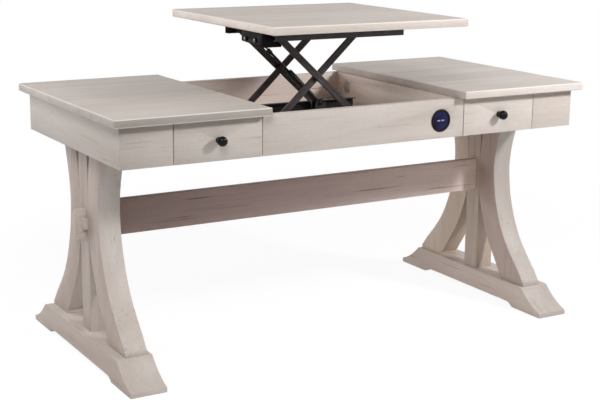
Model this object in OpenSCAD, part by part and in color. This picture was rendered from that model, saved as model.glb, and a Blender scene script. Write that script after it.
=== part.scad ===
// Writing desk on two trestle ends. The middle of the top rises on a scissor lift with a gas strut,
// a drawer sits in the apron on each side of it, and a round charger is let into the front apron.
// Millimetres. +X is to the right, the front looks towards -Y, +Z is up.
// The origin is on the floor under the middle. The lift is drawn raised and the drawers shut.

/* [Tops] */
// Width of the desk over its two fixed tops
desk_w = 1614; // [1400:1:1900]
// Depth of the tops, front to back
desk_d = 776; // [650:1:900]
// Height of the fixed tops above the floor
desk_h = 775; // [720:1:800]
// Thickness of all three top boards
top_t = 24; // [18:0.5:32]
// Radius of the eased board edges
edge_r = 3.5; // [1:0.5:6]
// Width of the rising panel
panel_w = 667; // [560:1:760]
// Depth of the rising panel, which leaves a cable gap behind it
panel_d = 663; // [560:1:700]
// Gap between the rising panel and each fixed top
panel_gap = 2.5; // [1.5:0.5:5]

/* [Apron box] */
// Distance from the desk's end to the apron's outer face
end_overhang = 24; // [10:1:60]
// Distance from the front or back edge to the apron's outer face
side_overhang = 29; // [10:1:60]
// Height of the apron boards
apron_h = 118; // [90:1:150]
// Thickness of the apron boards and drawer fronts
board_t = 22; // [16:0.5:28]
// Width of the ledge on which the lowered panel rests at each side
ledge_w = 4.5; // [3:0.5:12]
// Thickness of the outer drawer partitions
partition_t = 18; // [12:0.5:25]
// Thickness of the compartment floor
floor_t = 12; // [6:0.5:18]
// Section of the cleats under the compartment floor
cleat_h = 10; // [8:0.5:20]
// Radius of the cord hole in the right inner partition
cord_hole_r = 22; // [10:1:30]
// Distance from the cord hole to the middle of the desk's depth
cord_hole_y = 275; // [150:1:290]

/* [Drawers] */
// Width of a drawer front
drawer_w = 271; // [200:1:330]
// Dark gap around a drawer front
drawer_gap = 2.5; // [1.5:0.5:4]
// Depth of a drawer box behind its front
drawer_d = 400; // [250:1:520]
// Height of the drawer sides
drawer_side_h = 88; // [60:1:95]
// Thickness of the drawer sides and back
drawer_side_t = 12; // [9:0.5:18]
// Thickness of the drawer bottom
drawer_bottom_t = 6; // [3:0.5:9]
// Height of the runners above the apron's lower edge
runner_h = 14; // [10:0.5:22]
// Diameter of the ball of a knob
knob_d = 29; // [22:0.5:40]
// Diameter of the neck of a knob
knob_neck_d = 14; // [10:0.5:20]

/* [Trestle ends] */
// Gap between a leg and the end apron outside it
leg_gap = 10; // [2:0.5:40]
// Width of a foot
foot_w = 110; // [80:1:130]
// Length of a foot
foot_l = 788; // [640:1:860]
// Height of a foot
foot_h = 80; // [60:1:100]
// Height of a foot's tip
foot_tip_h = 15; // [10:1:30]
// Length of the coved slope at each end of a foot
foot_cove_l = 98; // [50:1:140]
// Length of the flat pad under each end of a foot
foot_pad_l = 142; // [60:1:180]
// Height of the relief under a foot
foot_relief_h = 14; // [6:1:25]
// Width of the legs and the post
leg_w = 68; // [48:1:76]
// Amount by which the legs stand nearer the middle of the desk than their foot
leg_inset = 8; // [0:1:10]
// Depth of the straight post
post_d = 66; // [50:1:90]
// Distance from the middle to a leg's outer corner on the foot
leg_reach = 290; // [230:1:300]
// Height of the square heel of a leg
leg_heel_h = 14; // [6:1:24]

/* [Stretcher] */
// Height of the stretcher
stretcher_h = 107; // [70:1:130]
// Thickness of the stretcher
stretcher_t = 26; // [20:1:36]
// Height of the stretcher's lower edge above the floor
stretcher_z = 362; // [250:1:450]
// Height of the through tenon
tenon_h = 90; // [60:1:100]
// Thickness of the through tenon
tenon_t = 26; // [16:1:28]
// Length of the tenon beyond the post
tenon_out = 32; // [20:1:50]
// Height of the tusk peg
peg_h = 31; // [20:1:45]
// Thickness of the tusk peg at its front end
peg_t = 14; // [9:0.5:18]
// Amount by which the peg gets thinner towards the back
peg_taper = 3; // [0:0.5:5]
// Length of the peg that stands out on each side of the tenon
peg_out = 15; // [8:1:25]

/* [Charger] */
// Distance from the middle of the desk to the middle of the charger
charger_x = 265; // [150:1:290]
// Height of the charger's middle above the apron's lower edge
charger_rise = 55; // [40:1:75]
// Outer diameter of the charger's bezel
charger_d = 70; // [50:1:80]
// Diameter of the hole for the charger
charger_hole_d = 60; // [40:1:62]

/* [Lift] */
// Distance between the end pivots of an arm
arm_l = 391; // [340:1:430]
// Width of an arm
arm_w = 20; // [14:0.5:28]
// Thickness of an arm
arm_t = 8; // [5:0.5:10]
// Height by which the panel rises
lift_rise = 221.5; // [150:0.5:240]
// Place of the fixed pivots, left of the middle
pivot_x = -220; // [-240:1:-180]
// Middle plane of the mechanism, in front of the middle of the desk
lift_y = -80; // [-110:1:-40]
// Distance from the middle plane to the webs of the rails
rail_half = 142; // [125:1:160]
// Height of a rail
rail_h = 34; // [28:1:44]
// Depth of a rail
rail_d = 18; // [14:0.5:24]
// Sheet thickness of the rails and channels
sheet_t = 2.5; // [1.5:0.1:4]
// Distance from the fixed pivots to the left end of a rail
rail_back = 15; // [12:1:30]
// Length of a rail
rail_l = 450; // [430:1:500]
// Diameter of the pivot pins
pin_d = 10; // [6:0.5:12]
// Height of the crossbars below the base rails
crossbar_h = 18; // [10:0.5:25]
// Width of a crossbar
crossbar_w = 30; // [20:1:40]
// Distance from the middle plane to a screw through a crossbar
crossbar_screw_half = 70; // [30:1:110]
// Diameter of the screws of the lift
screw_d = 5; // [3.5:0.5:6]
// Thickness of the plates between the top rails and the panel
plate_t = 2; // [1.5:0.5:6]

/* [Gas strut] */
// Middle plane of the strut
strut_y = -75; // [-100:1:-40]
// Place of the strut's lower eye, left or right of the middle
strut_foot_x = 0; // [-30:1:40]
// Height of the strut's lower eye above the compartment floor
strut_foot_h = 67; // [50:1:75]
// Distance of the strut's upper eye below the arms' upper pivots
strut_drop = 18; // [0:1:20]
// Diameter of the strut's cylinder
cylinder_d = 20; // [15:0.5:22]
// Length of the cylinder from the lower eye
cylinder_l = 146; // [120:1:146]
// Diameter of the strut's rod
rod_d = 8; // [6:0.5:10]

/* [Fits] */
// Gap between parts that run or slide on each other
run_gap = 0.3; // [0.2:0.05:0.5]
// Piece to draw

/* [Hidden] */
$fn = 48;
tiny = 0.01;

// Heights
slab_z = desk_h - top_t;
apron_z = slab_z - apron_h;
floor_z = apron_z + cleat_h + floor_t;
charger_z = apron_z + charger_rise;
cord_hole_z = floor_z + 49;

// Plan
half_w = desk_w / 2;
half_d = desk_d / 2;
box_x = half_w - end_overhang;
box_y = half_d - side_overhang;
in_x = box_x - board_t;
in_y = box_y - board_t;
top_in_x = panel_w / 2 + panel_gap;
part_x0 = panel_w / 2 - ledge_w;
part_x1 = part_x0 + board_t;
front_x = part_x1 - 0.5;
drawer_x0 = part_x1 + drawer_gap;
drawer_x1 = drawer_x0 + drawer_w;
block_x = drawer_x1 + drawer_gap;
drawer_mid_x = (drawer_x0 + drawer_x1) / 2;

// Drawer box
drawer_box_gap = 3.5;
runner_top_z = apron_z + runner_h;
drawer_box_z = runner_top_z + run_gap;
drawer_box_x0 = part_x1 + drawer_box_gap;
drawer_box_x1 = block_x - drawer_box_gap;
groove_z = drawer_box_z + 8;
groove_depth = drawer_side_t / 2;
knob_z = apron_z + apron_h / 2 - 1;
knob_neck_l = 7.5;
knob_screw_d = 4;

// Foot: rounding above its slope, sag of the slope and length of the rise to the relief
foot_round = 6;
foot_sag = 9;
foot_relief_l = 30;

// Trestle: stations are [part of the leg's height, part of leg_reach from the middle or the post]
leg_x1 = in_x - leg_gap;
leg_x0 = leg_x1 - leg_w;
leg_x = leg_x1 - leg_w / 2;
trestle_x = leg_x + leg_inset;
leg_top_z = slab_z - top_t;
leg_span = apron_z - foot_h;
outer_stations = [
    [0.081, 0.903],
    [0.217, 0.672],
    [0.344, 0.528],
    [0.483, 0.431],
    [0.588, 0.393],
    [0.696, 0.379],
    [0.808, 0.407],
    [0.908, 0.462],
    [1.000, 0.517],
];
inner_stations = [
    [0.108, 0.345],
    [0.248, 0.172],
    [0.403, 0.052],
    [0.506, 0.003],
    [0.633, 0.000],
    [0.760, 0.006],
    [0.868, 0.030],
    [1.000, 0.078],
];
heel_outer = 0.985;
heel_inner = 0.450;
head_outer = 0.620;
head_inner = 0.165;

// Stretcher: the tenon has a narrow shoulder below and a wide one above, the peg is near its middle
tenon_z = stretcher_z + 1;
peg_z = tenon_z + (tenon_h - peg_h) / 2 + 2;

// Lift, seen from the front: arm angle, pivots and the crossing
base_pivot_z = floor_z + crossbar_h + rail_h / 2;
top_pivot_z = desk_h - top_t + lift_rise - plate_t - rail_h / 2;
arm_angle = asin((top_pivot_z - base_pivot_z) / arm_l);
roller_x = pivot_x + arm_l * cos(arm_angle);
cross_x = (pivot_x + roller_x) / 2;
cross_z = (base_pivot_z + top_pivot_z) / 2;
rail_x0 = pivot_x - rail_back;
rail_x1 = rail_x0 + rail_l;
panel_under_z = slab_z + lift_rise;
arm_gap = 1;
outer_arm_d1 = rail_half - rail_d - arm_gap;
outer_arm_d0 = outer_arm_d1 - arm_t;
inner_arm_d1 = outer_arm_d0 - 2;
inner_arm_d0 = inner_arm_d1 - arm_t;
roller_r = rail_h / 2 - sheet_t - run_gap;
roller_d0 = rail_half - rail_d + 1.5;
roller_d1 = roller_d0 + 12;
spacer_r = pin_d / 2 + 3;
pin_head_t = 3;
hole_r = pin_d / 2 + run_gap;
rear_rail_extra = 19;
plate_w = 40;
screw_head_t = screw_d / 2;
screw_spots = [
    for (x = [pivot_x + 60, (rail_x0 + rail_x1) / 2, rail_x1 - 30], side = [-1, 1])
        [x, lift_y + side * (rail_half - plate_w + 10)]
];

// Deep channel under the top plate, shallower towards the back, and the strut's seat in it
channel_x0 = pivot_x - 36;
channel_x1 = pivot_x + 28;
channel_y0 = lift_y - 100;
channel_y1 = lift_y + 30;
channel_taper = 10;
channel_top_z = panel_under_z - plate_t;
channel_z = channel_top_z - 55.5;
cheek_t = 4;
cheek_gap = 11;
bolt_ys = [strut_y - 3, strut_y - 63];
bolt_z = channel_top_z - 37.5;
bolt_d = 8;
bolt_af = 12;

// Gas strut
strut_foot_z = floor_z + strut_foot_h;
strut_top_z = top_pivot_z - strut_drop;
strut_dx = pivot_x - strut_foot_x;
strut_dz = strut_top_z - strut_foot_z;
strut_l = sqrt(strut_dx * strut_dx + strut_dz * strut_dz);
strut_tilt = atan2(strut_dx, strut_dz);
rod_eye_r = 9;
foot_eye_r = 10;
foot_pin_d = 8;
stem_d = 5;
stem_l = 57;
socket_d = 12;
socket_l = 15;
strut_low_l = sqrt(strut_dx * strut_dx + pow(strut_dz - lift_rise, 2));
bore_z = foot_eye_r + 4;
rod_l = strut_low_l - bore_z - 3;
tube_l = min(cylinder_l, strut_low_l - stem_l - socket_l - 2);
mouth_angle = 32.5;
mouth_w = 11.4;

wood = "#cdc2b4";
wood_inside = "#b7a797";
steel = "#26242a";
bright = "#b9babc";
black = "#1b1a1c";
navy = "#16243c";

// Helpers

// Points of a quarter arc about c from angle a0, turning by 90 degrees
function quarter(c, r, a0, n = 3) = [
    for (i = [0:n]) [c[0] + r * cos(a0 + 90 * i / n), c[1] + r * sin(a0 + 90 * i / n)]
];

// Outline of a rectangle with eased corners, from its lower left corner
function eased_rect(w, h, r) = concat(
    quarter([w - r, r], r, -90),
    quarter([w - r, h - r], r, 0),
    quarter([r, h - r], r, 90),
    quarter([r, r], r, 180)
);

// Point at part t between p1 and p2 on a smooth curve through p0, p1, p2 and p3
function curve_point(p0, p1, p2, p3, t) =
    0.5 * (2 * p1 + (p2 - p0) * t + (2 * p0 - 5 * p1 + 4 * p2 - p3) * t * t
    + (3 * p1 - p0 - 3 * p2 + p3) * t * t * t);

// Smooth curve through the points p, with n steps from one to the next
function smooth(p, n = 3) = concat(
    [
        for (i = [0:len(p) - 2], k = [0:n - 1])
            curve_point(p[max(i - 1, 0)], p[i], p[i + 1], p[min(i + 2, len(p) - 1)], k / n)
    ],
    [p[len(p) - 1]]
);

function reversed(p) = [for (i = [len(p) - 1:-1:0]) p[i]];

// Box between two corners
module box(a, b) {
    translate(a)
        cube(b - a);
}

// Outline in Y and Z, drawn from x0 to x1
module along_x(x0, x1) {
    translate([x0, 0, 0])
        rotate([90, 0, 90])
            linear_extrude(x1 - x0)
                children();
}

// Outline in X and Z, drawn from y0 to y1
module along_y(y0, y1) {
    translate([0, y1, 0])
        rotate([90, 0, 0])
            linear_extrude(y1 - y0)
                children();
}

// Outline in X and Y, drawn from z0 to z1
module along_z(z0, z1) {
    translate([0, 0, z0])
        linear_extrude(z1 - z0)
            children();
}

// Cylinder along Y through (x, z), from y0 to y1
module rod_y(x, z, y0, y1, r) {
    translate([x, y1, z])
        rotate([90, 0, 0])
            cylinder(h = y1 - y0, r = r);
}

// Cylinder along X through (y, z), from x0 to x1
module rod_x(y, z, x0, x1, r) {
    translate([x0, y, z])
        rotate([0, 90, 0])
            cylinder(h = x1 - x0, r = r);
}

module mirrored() {
    mirror([1, 0, 0])
        children();
}

// Board with eased edges all round
module slab(a, b) {
    intersection() {
        along_y(a[1], b[1])
            translate([a[0], a[2]])
                polygon(eased_rect(b[0] - a[0], b[2] - a[2], edge_r));
        along_x(a[0], b[0])
            translate([a[1], a[2]])
                polygon(eased_rect(b[1] - a[1], b[2] - a[2], edge_r));
    }
}

// Tops and apron box

module right_top() {
    color(wood)
        slab([top_in_x, -half_d, slab_z], [half_w, half_d, desk_h]);
}

module left_top() {
    mirrored()
        right_top();
}

module front_apron() {
    color(wood)
        difference() {
            box([-front_x, -box_y, apron_z], [front_x, -in_y, slab_z]);
            rod_y(charger_x, charger_z, -box_y - 1, -in_y + 1, charger_hole_d / 2);
        }
}

module back_apron() {
    color(wood)
        along_z(apron_z, slab_z)
            polygon([[-in_x, in_y], [in_x, in_y], [box_x, box_y], [-box_x, box_y]]);
}

module right_end_apron() {
    color(wood)
        along_z(apron_z, slab_z)
            polygon([[in_x, -in_y], [box_x, -box_y], [box_x, box_y], [in_x, in_y]]);
}

module left_end_apron() {
    mirrored()
        right_end_apron();
}

module right_front_block() {
    color(wood)
        along_z(apron_z, slab_z)
            polygon([[block_x, -box_y], [box_x, -box_y], [in_x, -in_y], [block_x, -in_y]]);
}

module left_front_block() {
    mirrored()
        right_front_block();
}

module left_inner_partition() {
    color(wood_inside)
        box([-part_x1, -in_y, apron_z], [-part_x0, in_y, slab_z]);
}

module right_inner_partition() {
    color(wood_inside)
        difference() {
            box([part_x0, -in_y, apron_z], [part_x1, in_y, slab_z]);
            rod_x(cord_hole_y, cord_hole_z, part_x0 - 1, part_x1 + 1, cord_hole_r);
        }
}

module outer_partitions() {
    color(wood_inside)
        for (side = [0, 1])
            mirror([side, 0, 0])
                box([block_x, -in_y, apron_z], [block_x + partition_t, in_y, slab_z]);
}

module compartment_floor() {
    color(wood_inside)
        box([-part_x0, -in_y, floor_z - floor_t], [part_x0, in_y, floor_z]);
}

module floor_cleats() {
    color(wood_inside)
        for (side = [0, 1])
            mirror([side, 0, 0])
                box([part_x0 - 22, -in_y, apron_z], [part_x0, in_y, floor_z - floor_t]);
}

// Drawers

module drawer_runners() {
    color(wood_inside)
        for (side = [0, 1], x = [part_x1, block_x - 18])
            mirror([side, 0, 0])
                box([x, -in_y, apron_z], [x + 18, in_y, runner_top_z]);
}

module drawer_front() {
    color(wood)
        difference() {
            box([drawer_x0, -box_y, apron_z], [drawer_x1, -in_y, slab_z - 2]);
            rod_y(drawer_mid_x, knob_z, -box_y - 1, -in_y + 1, knob_screw_d / 2 + run_gap);
        }
}

module drawer_side() {
    difference() {
        box(
            [drawer_box_x0, -in_y, drawer_box_z],
            [drawer_box_x0 + drawer_side_t, -in_y + drawer_d, drawer_box_z + drawer_side_h]
        );
        box(
            [drawer_box_x0 + drawer_side_t - groove_depth, -in_y - 1, groove_z],
            [drawer_box_x0 + drawer_side_t + 1, -in_y + drawer_d + 1, groove_z + drawer_bottom_t]
        );
    }
}

module drawer_sides() {
    color(wood_inside) {
        drawer_side();
        translate([2 * drawer_mid_x, 0, 0])
            mirrored()
                drawer_side();
    }
}

module drawer_bottom() {
    color(wood_inside)
        box(
            [drawer_box_x0 + drawer_side_t - groove_depth, -in_y, groove_z],
            [drawer_box_x1 - drawer_side_t + groove_depth, -in_y + drawer_d, groove_z + drawer_bottom_t]
        );
}

module drawer_back() {
    color(wood_inside)
        box(
            [drawer_box_x0 + drawer_side_t, -in_y + drawer_d - drawer_side_t, groove_z + drawer_bottom_t],
            [drawer_box_x1 - drawer_side_t, -in_y + drawer_d, drawer_box_z + drawer_side_h]
        );
}

// Half profile of the knob, with a blind bore for its screw; [radius, distance from the front]
function knob_profile() = let (
    r = knob_d / 2,
    n = knob_neck_d / 2,
    start = asin(n / r),
    c = knob_neck_l + r * cos(start),
    bore = knob_screw_d / 2 + run_gap
) concat(
    [[bore, 0], [n + 2, 0], [n + 2, 1.5], [n, 3.5], [n, knob_neck_l - 0.5]],
    [for (i = [0:12]) let (a = start + (180 - start) * i / 12) [r * sin(a), c - r * cos(a)]],
    [[0, 14], [bore, 12]]
);

module drawer_knob() {
    color(black)
        translate([drawer_mid_x, -box_y, knob_z])
            rotate([90, 0, 0])
                rotate_extrude()
                    polygon(knob_profile());
}

module knob_screw() {
    color(bright) {
        rod_y(drawer_mid_x, knob_z, -box_y - 11, -in_y + tiny, knob_screw_d / 2);
        rod_y(drawer_mid_x, knob_z, -in_y, -in_y + 2.5, 4.5);
    }
}

module drawer_pull() {
    drawer_knob();
    knob_screw();
}

module right_drawer_front() {
    drawer_front();
}

module right_drawer_frame() {
    drawer_sides();
    drawer_back();
}

module right_drawer_bottom() {
    drawer_bottom();
}

module right_drawer_knob() {
    drawer_pull();
}

module left_drawer_front() {
    mirrored()
        drawer_front();
}

module left_drawer_frame() {
    mirrored()
        right_drawer_frame();
}

module left_drawer_bottom() {
    mirrored()
        drawer_bottom();
}

module left_drawer_knob() {
    mirrored()
        drawer_pull();
}

// Trestle ends

// Half outline of a foot from the middle of its top to its tip; the slope sags below its chord
function foot_half() = let (
    top_y = foot_l / 2 - foot_cove_l,
    drop = foot_h - foot_tip_h,
    pad_y = foot_l / 2 - foot_pad_l
) concat(
    [[top_y - foot_round, foot_h], [top_y, foot_h - foot_round / 3]],
    [
        for (i = [1:8])
            let (t = i / 8)
                [top_y + foot_cove_l * t, foot_h - foot_round / 3 - (drop - foot_round / 3) * t
                    - 4 * foot_sag * t * (1 - t)]
    ],
    [[foot_l / 2, 0], [pad_y, 0]],
    [for (i = [1:4]) [pad_y - foot_relief_l * i / 4, foot_relief_h * sin(22.5 * i)]]
);

module foot() {
    half = foot_half();
    color(wood)
        along_x(trestle_x - foot_w / 2, trestle_x + foot_w / 2)
            polygon(concat([for (p = reversed(half)) [-p[0], p[1]]], half));
}

// Outline of the back leg: the outer edge upwards, then the inner edge downwards
function leg_outline() = let (
    head = leg_top_z,
    outer = smooth(concat(
        [[leg_reach * heel_outer, foot_h + leg_heel_h]],
        [for (s = outer_stations) [leg_reach * s[1], foot_h + leg_span * s[0]]],
        [[leg_reach * head_outer, head]]
    )),
    inner = smooth(concat(
        [[post_d / 2 + leg_reach * heel_inner, foot_h + leg_heel_h]],
        [for (s = inner_stations) [post_d / 2 + leg_reach * s[1], foot_h + leg_span * s[0]]],
        [[post_d / 2 + leg_reach * head_inner, head]]
    )),
    inner_clear = [for (p = inner) [max(p[0], post_d / 2), p[1]]]
) concat(
    [[leg_reach, foot_h], [leg_reach, foot_h + leg_heel_h]],
    outer,
    reversed(inner_clear),
    [
        [post_d / 2 + leg_reach * (heel_inner + 0.02), foot_h + leg_heel_h],
        [post_d / 2 + leg_reach * (heel_inner + 0.02), foot_h],
    ]
);

module back_leg() {
    color(wood)
        along_x(leg_x0, leg_x1)
            polygon(leg_outline());
}

module front_leg() {
    mirror([0, 1, 0])
        back_leg();
}

module post() {
    color(wood)
        difference() {
            box(
                [leg_x0, -post_d / 2, foot_h],
                [leg_x1, post_d / 2, leg_top_z]
            );
            box(
                [leg_x0 - 1, -tenon_t / 2 - run_gap, tenon_z - run_gap],
                [leg_x1 + 1, tenon_t / 2 + run_gap, tenon_z + tenon_h + run_gap]
            );
        }
}

module top_cleats() {
    color(wood_inside)
        for (side = [0, 1])
            mirror([side, 0, 0])
                box(
                    [leg_x0, -in_y + 17, leg_top_z],
                    [leg_x1, in_y - 17, slab_z]
                );
}

module right_foot() {
    foot();
}

module left_foot() {
    mirrored()
        foot();
}

module right_front_leg() {
    front_leg();
}

module right_back_leg() {
    back_leg();
}

module left_front_leg() {
    mirrored()
        front_leg();
}

module left_back_leg() {
    mirrored()
        back_leg();
}

module right_post() {
    post();
}

module left_post() {
    mirrored()
        post();
}

// Stretcher

// Outline of a tusk peg in plan, grown by gap all round; it bears on the post's outer face
function peg_plan(gap) = let (
    x0 = leg_x1,
    half_l = tenon_t / 2 + peg_out
) [
    [x0 - gap, -half_l - gap],
    [x0 + peg_t + gap, -half_l - gap],
    [x0 + peg_t - peg_taper + gap, half_l + gap],
    [x0 - gap, half_l + gap],
];

module tenon() {
    post_x = leg_x1;
    difference() {
        box(
            [leg_x0 - 1, -tenon_t / 2, tenon_z],
            [post_x + tenon_out, tenon_t / 2, tenon_z + tenon_h]
        );
        along_z(peg_z - run_gap, peg_z + peg_h + run_gap)
            polygon(peg_plan(run_gap));
    }
}

module stretcher() {
    end_x = leg_x0;
    color(wood) {
        box([-end_x, -stretcher_t / 2, stretcher_z], [end_x, stretcher_t / 2, stretcher_z + stretcher_h]);
        tenon();
        mirrored()
            tenon();
    }
}

module tusk_pegs() {
    color(wood)
        for (side = [0, 1])
            mirror([side, 0, 0])
                along_z(peg_z, peg_z + peg_h)
                    polygon(peg_plan(0));
}

// Charger

module charger_bezel() {
    r = charger_d / 2;
    color(black)
        translate([charger_x, -box_y, charger_z])
            rotate([90, 0, 0])
                rotate_extrude()
                    polygon([
                        [r - 7, 0],
                        [r, 0],
                        [r, 1.5],
                        [r - 1, 2.8],
                        [r - 2.5, 3.5],
                        [r - 5.5, 3.5],
                        [r - 7, 2],
                    ]);
}

module charger_face() {
    r = charger_d / 2 - 7 - run_gap;
    color(navy)
        difference() {
            rod_y(charger_x, charger_z, -box_y - 1.5, -box_y, r);
            for (z = [-7, 7])
                box(
                    [charger_x - 6, -box_y - 2, charger_z + z - 2.5],
                    [charger_x + 6, -box_y - 0.6, charger_z + z + 2.5]
                );
        }
}

module charger_body() {
    color(black)
        rod_y(charger_x, charger_z, -box_y, -in_y + 18, charger_hole_d / 2 - run_gap);
}

module charger_nut() {
    color(black)
        difference() {
            rod_y(charger_x, charger_z, -in_y, -in_y + 6, charger_hole_d / 2 + 2);
            rod_y(charger_x, charger_z, -in_y - 1, -in_y + 7, charger_hole_d / 2);
        }
}

// Lift

// Draws its children on the front side of the mechanism and mirrored on the rear side
module lift_pair() {
    children();
    translate([0, 2 * lift_y, 0])
        mirror([0, 1, 0])
            children();
}

// Cylinder along Y on the front side, between two distances from the middle plane
module lift_rod(x, z, d0, d1, r) {
    rod_y(x, z, lift_y - d1, lift_y - d0, r);
}

// Arm from (x0, z0) at the given angle, with a hole at each end and at the crossing
module arm(x0, z0, angle, d0, d1) {
    translate([x0, lift_y - d0, z0])
        rotate([0, -angle, 0])
            difference() {
                union() {
                    translate([0, d0 - d1, -arm_w / 2])
                        cube([arm_l, d1 - d0, arm_w]);
                    for (x = [0, arm_l])
                        rod_y(x, 0, d0 - d1, 0, arm_w / 2);
                }
                for (x = [0, arm_l / 2, arm_l])
                    rod_y(x, 0, d0 - d1 - 1, 1, hole_r);
            }
}

// Channel of a rail from x0 to x1 about height z, open towards the middle plane
module rail(x0, x1, z, pin_x) {
    d0 = rail_half - rail_d;
    difference() {
        box([x0, lift_y - rail_half, z - rail_h / 2], [x1, lift_y - d0, z + rail_h / 2]);
        box(
            [x0 - 1, lift_y - rail_half + sheet_t, z - rail_h / 2 + sheet_t],
            [x1 + 1, lift_y - d0 + 1, z + rail_h / 2 - sheet_t]
        );
        lift_rod(pin_x, z, d0, rail_half + 1, hole_r);
    }
}

module lift_base_rails() {
    color(steel)
        lift_pair()
            rail(rail_x0, rail_x1, base_pivot_z, pivot_x);
}

module lift_base_crossbars() {
    color(steel)
        for (x = [rail_x0, rail_x1 - crossbar_w])
            difference() {
                box(
                    [x, lift_y - rail_half, floor_z],
                    [x + crossbar_w, lift_y + rail_half, floor_z + crossbar_h]
                );
                for (d = [-crossbar_screw_half, crossbar_screw_half])
                    translate([x + crossbar_w / 2, lift_y + d, floor_z - 1])
                        cylinder(h = crossbar_h + 2, r = screw_d / 2 + run_gap);
            }
}

module lift_base_screws() {
    color(bright)
        for (
            x = [rail_x0 + crossbar_w / 2, rail_x1 - crossbar_w / 2],
            d = [-crossbar_screw_half, crossbar_screw_half]
        )
            translate([x, lift_y + d, floor_z]) {
                cylinder(h = crossbar_h + tiny, r = screw_d / 2);
                translate([0, 0, crossbar_h])
                    cylinder(h = screw_head_t, r = screw_d);
            }
}

// Outline of an open mouth with a round seat, along X from the seat
function mouth_outline() = concat(
    [for (i = [0:8]) [mouth_w / 2 * cos(90 + 22.5 * i), mouth_w / 2 * sin(90 + 22.5 * i)]],
    [[60, -mouth_w / 2], [60, mouth_w / 2]]
);

// Seat of the strut's lower eye; the mouths of its cheeks let the pin swing out and back
module strut_bracket() {
    top = strut_foot_z + 14;
    cheek = [
        [strut_foot_x - 24, floor_z],
        [strut_foot_x + 24, floor_z],
        [strut_foot_x + 17, top],
        [strut_foot_x - 14, top],
    ];
    color(steel)
        difference() {
            union() {
                box(
                    [strut_foot_x - 24, strut_y - 28, floor_z],
                    [strut_foot_x + 24, strut_y + 28, floor_z + 4]
                );
                for (y = [strut_y - cheek_gap - 3, strut_y + cheek_gap])
                    along_y(y, y + 3)
                        polygon(cheek);
            }
            along_y(strut_y - 20, strut_y + 20)
                translate([strut_foot_x, strut_foot_z])
                    rotate(mouth_angle)
                        polygon(mouth_outline());
        }
}

module inner_arms() {
    color(steel)
        lift_pair()
            arm(pivot_x, base_pivot_z, arm_angle, inner_arm_d0, inner_arm_d1);
}

// Pin through an arm and the web of a rail: head, shank, spacer and end collar
module pivot_pin(x, z, d0, d1) {
    lift_rod(x, z, d0 - pin_head_t, d0, spacer_r);
    lift_rod(x, z, d0 - tiny, rail_half + run_gap + 2, pin_d / 2);
    lift_rod(x, z, d1, rail_half - sheet_t - run_gap, spacer_r);
    lift_rod(x, z, rail_half + run_gap, rail_half + run_gap + 2, spacer_r - 0.5);
}

// Pin through an arm that carries a roller: head, shank, spacer and end collar
module roller_pin(x, z, d0, d1) {
    lift_rod(x, z, d0 - pin_head_t, d0, spacer_r);
    lift_rod(x, z, d0 - tiny, roller_d1 + 1.3, pin_d / 2);
    lift_rod(x, z, d1, roller_d0, spacer_r);
    lift_rod(x, z, roller_d1, roller_d1 + 1.3, spacer_r - 1);
}

module roller(x, z) {
    difference() {
        lift_rod(x, z, roller_d0, roller_d1, roller_r);
        lift_rod(x, z, roller_d0 - 1, roller_d1 + 1, hole_r);
    }
}

module inner_pins() {
    color(bright)
        lift_pair() {
            pivot_pin(pivot_x, base_pivot_z, inner_arm_d0, inner_arm_d1);
            roller_pin(roller_x, top_pivot_z, inner_arm_d0, inner_arm_d1);
        }
}

module top_rollers() {
    color(black)
        lift_pair()
            roller(roller_x, top_pivot_z);
}

module centre_pins() {
    color(steel)
        lift_pair() {
            lift_rod(cross_x, cross_z, inner_arm_d0 - pin_head_t, inner_arm_d0, spacer_r);
            lift_rod(cross_x, cross_z, inner_arm_d0 - tiny, outer_arm_d1, pin_d / 2);
            lift_rod(cross_x, cross_z, inner_arm_d1, outer_arm_d0 - run_gap, spacer_r);
        }
}

module outer_arms() {
    color(steel)
        lift_pair()
            arm(pivot_x, top_pivot_z, -arm_angle, outer_arm_d0, outer_arm_d1);
}

module outer_pins() {
    color(bright)
        lift_pair() {
            pivot_pin(pivot_x, top_pivot_z, outer_arm_d0, outer_arm_d1);
            roller_pin(roller_x, base_pivot_z, outer_arm_d0, outer_arm_d1);
        }
}

module base_rollers() {
    color(black)
        lift_pair()
            roller(roller_x, base_pivot_z);
}

module lift_panel() {
    color(wood)
        slab(
            [-panel_w / 2, -half_d, panel_under_z],
            [panel_w / 2, -half_d + panel_d, panel_under_z + top_t]
        );
}

module top_rails() {
    color(steel) {
        rail(rail_x0, rail_x1, top_pivot_z, pivot_x);
        translate([0, 2 * lift_y, 0])
            mirror([0, 1, 0])
                rail(rail_x0 - rear_rail_extra, rail_x1, top_pivot_z, pivot_x);
    }
}

module top_plate() {
    color(steel)
        difference() {
            union() {
                box(
                    [rail_x0 - rear_rail_extra, lift_y - rail_half, channel_top_z],
                    [pivot_x + 24, lift_y + rail_half, panel_under_z]
                );
                lift_pair()
                    box(
                        [pivot_x, lift_y - rail_half, channel_top_z],
                        [rail_x1, lift_y - rail_half + plate_w, panel_under_z]
                    );
            }
            for (p = screw_spots)
                translate([p[0], p[1], channel_top_z - 1])
                    cylinder(h = plate_t + 2, r = screw_d / 2 + run_gap);
        }
}

module panel_screws() {
    color(bright)
        for (p = screw_spots)
            translate([p[0], p[1], channel_top_z - screw_head_t]) {
                cylinder(h = screw_head_t, r = screw_d);
                cylinder(h = screw_head_t + plate_t, r = screw_d / 2);
            }
}

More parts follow.
